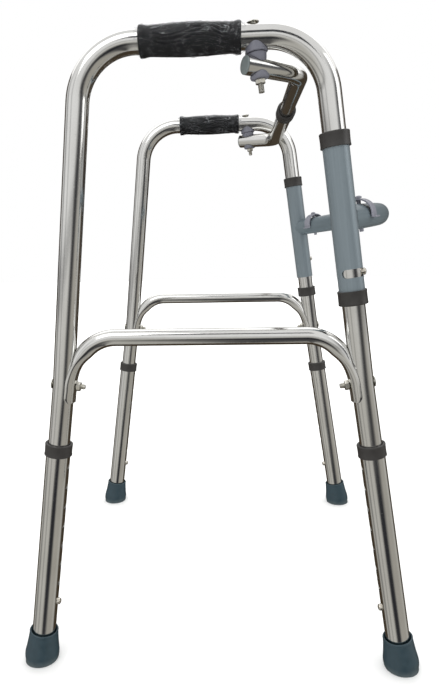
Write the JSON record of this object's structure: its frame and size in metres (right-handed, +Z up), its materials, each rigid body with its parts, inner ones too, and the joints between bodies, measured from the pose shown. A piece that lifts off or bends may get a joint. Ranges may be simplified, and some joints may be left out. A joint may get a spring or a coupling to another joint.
{
  "type": "folding walker",
  "caption": "Folding walking frame with bent side frames, braces, telescoping legs on rubber feet, bowed front crossbar on hinge sleeves and a telescoping top bar.",
  "frame": {"origin": "on the floor between the four feet, at the middle of the bounding box's base", "axes": "+X forward, +Y to the user's left, +Z up"},
  "size_m": [0.4901, 0.5042, 0.745],
  "materials": {
    "polished_tube": "polished",
    "leg_tube": "polished",
    "sleeve": "satin painted",
    "crossbar": "satin",
    "black_plastic": "moulded",
    "grey_plastic": "moulded",
    "end_cap": "moulded",
    "pad_plastic": "moulded",
    "rubber": "matt",
    "grip_foam": "moulded, under clear film",
    "zinc_steel": "zinc plated",
    "spring_steel": "nickel plated"
  },
  "bodies": {
    "front_crossbar": {"front_crossbar": "crossbar", "right_sleeve": "sleeve", "left_sleeve": "sleeve", "right_sleeve_top_collar": "black_plastic", "left_sleeve_top_collar": "black_plastic", "right_sleeve_bottom_collar": "black_plastic"},
    "right_front_leg": {"right_front_lower_leg": "leg_tube", "right_front_leg_collar": "black_plastic", "right_front_foot": "rubber"},
    "right_front_clip": {"right_front_leg_clip": "spring_steel"},
    "right_rear_leg": {"right_rear_lower_leg": "leg_tube", "right_rear_leg_collar": "black_plastic", "right_rear_foot": "rubber"},
    "right_rear_clip": {"right_rear_leg_clip": "spring_steel"},
    "right_frame": {"right_side_frame": "polished_tube", "right_brace": "polished_tube", "right_grip": "grip_foam", "right_upper_saddle": "grey_plastic", "right_front_brace_bolt": "zinc_steel", "right_front_brace_nut": "zinc_steel", "right_rear_brace_bolt": "zinc_steel", "right_rear_brace_nut": "zinc_steel", "right_saddle_bolt": "zinc_steel"},
    "right_sleeve_clip": {"right_sleeve_clip": "spring_steel"},
    "right_release": {"right_release_pad": "pad_plastic", "right_release_pin": "spring_steel"},
    "left_front_leg": {"left_front_lower_leg": "leg_tube", "left_front_leg_collar": "black_plastic", "left_front_foot": "rubber"},
    "left_front_clip": {"left_front_leg_clip": "spring_steel"},
    "left_rear_leg": {"left_rear_lower_leg": "leg_tube", "left_rear_leg_collar": "black_plastic", "left_rear_foot": "rubber"},
    "left_rear_clip": {"left_rear_leg_clip": "spring_steel"},
    "left_frame": {"left_side_frame": "polished_tube", "left_brace": "polished_tube", "left_grip": "grip_foam", "left_upper_saddle": "grey_plastic", "left_front_brace_bolt": "zinc_steel", "left_front_brace_nut": "zinc_steel", "left_rear_brace_bolt": "zinc_steel", "left_rear_brace_nut": "zinc_steel", "left_sleeve_bottom_collar": "black_plastic"},
    "left_sleeve_clip": {"left_sleeve_clip": "spring_steel"},
    "left_release": {"left_release_pad": "pad_plastic", "left_release_pin": "spring_steel"},
    "left_swivel": {"left_saddle_bolt": "zinc_steel", "left_saddle_nut": "zinc_steel"},
    "left_bar": {"left_bar_half": "polished_tube", "left_lower_saddle": "grey_plastic", "left_bottom_saddle": "grey_plastic", "left_bar_end_cap": "end_cap", "bar_collar": "black_plastic"},
    "bar_plug": {"bar_guide_plug": "black_plastic"},
    "right_bar": {"right_bar_half": "polished_tube", "right_lower_saddle": "grey_plastic", "right_bottom_saddle": "grey_plastic", "right_bar_end_cap": "end_cap", "right_saddle_stud": "zinc_steel", "right_saddle_nut": "zinc_steel"}
  },
  "joints": [
    {"name": "right_fold", "type": "hinge", "parent": "front_crossbar", "child": "right_frame", "pos_m": [0.12, -0.231, 0.728], "axis": [0.1309, 0, -0.9914], "range_deg": [0, 60]},
    {"name": "right_front_leg_height", "type": "slide", "parent": "right_frame", "child": "right_front_leg", "axis": [0.155, 0, -0.9879], "range_m": [0, 0.1778]},
    {"name": "right_front_clip_press", "type": "slide", "parent": "right_frame", "child": "right_front_clip", "axis": [0.9879, 0, 0.155], "range_m": [0, 0.0056], "stiffness_N_per_m": 600, "deforming": ["right_front_leg_clip"]},
    {"name": "right_rear_leg_height", "type": "slide", "parent": "right_frame", "child": "right_rear_leg", "axis": [-0.1387, 0, -0.9903], "range_m": [0, 0.1778]},
    {"name": "right_rear_clip_press", "type": "slide", "parent": "right_frame", "child": "right_rear_clip", "axis": [-0.9903, 0, 0.1387], "range_m": [0, 0.0056], "stiffness_N_per_m": 600, "deforming": ["right_rear_leg_clip"]},
    {"name": "right_sleeve_clip_press", "type": "slide", "parent": "right_frame", "child": "right_sleeve_clip", "axis": [-0.9817, 0.1392, -0.1297], "range_m": [0, 0.0046], "stiffness_N_per_m": 600, "deforming": ["right_sleeve_clip"]},
    {"name": "right_release_press", "type": "slide", "parent": "front_crossbar", "child": "right_release", "axis": [0.1309, 0, -0.9914], "range_m": [0, 0.003], "stiffness_N_per_m": 500},
    {"name": "left_fold", "type": "hinge", "parent": "front_crossbar", "child": "left_frame", "pos_m": [0.12, 0.231, 0.728], "axis": [-0.1309, 0, 0.9914], "range_deg": [0, 85]},
    {"name": "left_front_leg_height", "type": "slide", "parent": "left_frame", "child": "left_front_leg", "axis": [0.155, 0, -0.9879], "range_m": [0, 0.1778]},
    {"name": "left_front_clip_press", "type": "slide", "parent": "left_frame", "child": "left_front_clip", "axis": [0.9879, 0, 0.155], "range_m": [0, 0.0056], "stiffness_N_per_m": 600, "deforming": ["left_front_leg_clip"]},
    {"name": "left_rear_leg_height", "type": "slide", "parent": "left_frame", "child": "left_rear_leg", "axis": [-0.1387, 0, -0.9903], "range_m": [0, 0.1778]},
    {"name": "left_rear_clip_press", "type": "slide", "parent": "left_frame", "child": "left_rear_clip", "axis": [-0.9903, 0, 0.1387], "range_m": [0, 0.0056], "stiffness_N_per_m": 600, "deforming": ["left_rear_leg_clip"]},
    {"name": "left_sleeve_clip_press", "type": "slide", "parent": "left_frame", "child": "left_sleeve_clip", "axis": [-0.9817, -0.1392, -0.1297], "range_m": [0, 0.0046], "stiffness_N_per_m": 600, "deforming": ["left_sleeve_clip"]},
    {"name": "left_release_press", "type": "slide", "parent": "front_crossbar", "child": "left_release", "axis": [0.1309, 0, -0.9914], "range_m": [0, 0.003], "stiffness_N_per_m": 500},
    {"name": "left_bolt_turn", "type": "hinge", "parent": "left_frame", "child": "left_swivel", "pos_m": [0.0495, 0.231, 0.728], "axis": [-0.1309, 0, 0.9914], "range_deg": [-95, 1]},
    {"name": "bar_turn", "type": "hinge", "parent": "left_swivel", "child": "left_bar", "pos_m": [0.05349, 0.231, 0.69776], "axis": [0, 0, 1], "range_deg": [-1, 5.5]},
    {"name": "plug_slide", "type": "slide", "parent": "left_bar", "child": "bar_plug", "axis": [0, 1, 0], "range_m": [-0.001, 0.068]},
    {"name": "bar_slide", "type": "slide", "parent": "bar_plug", "child": "right_bar", "axis": [0, 1, 0], "range_m": [-0.001, 0.063]}
  ],
  "couplings": [
    {"joint": "left_bolt_turn", "follows": "left_fold", "ratio": -1.1104},
    {"joint": "bar_turn", "follows": "right_fold", "ratio": 0.08125},
    {"joint": "plug_slide", "follows": "left_fold", "m_per_rad": 0.04437},
    {"joint": "bar_slide", "follows": "right_fold", "m_per_rad": 0.05776}
  ]
}
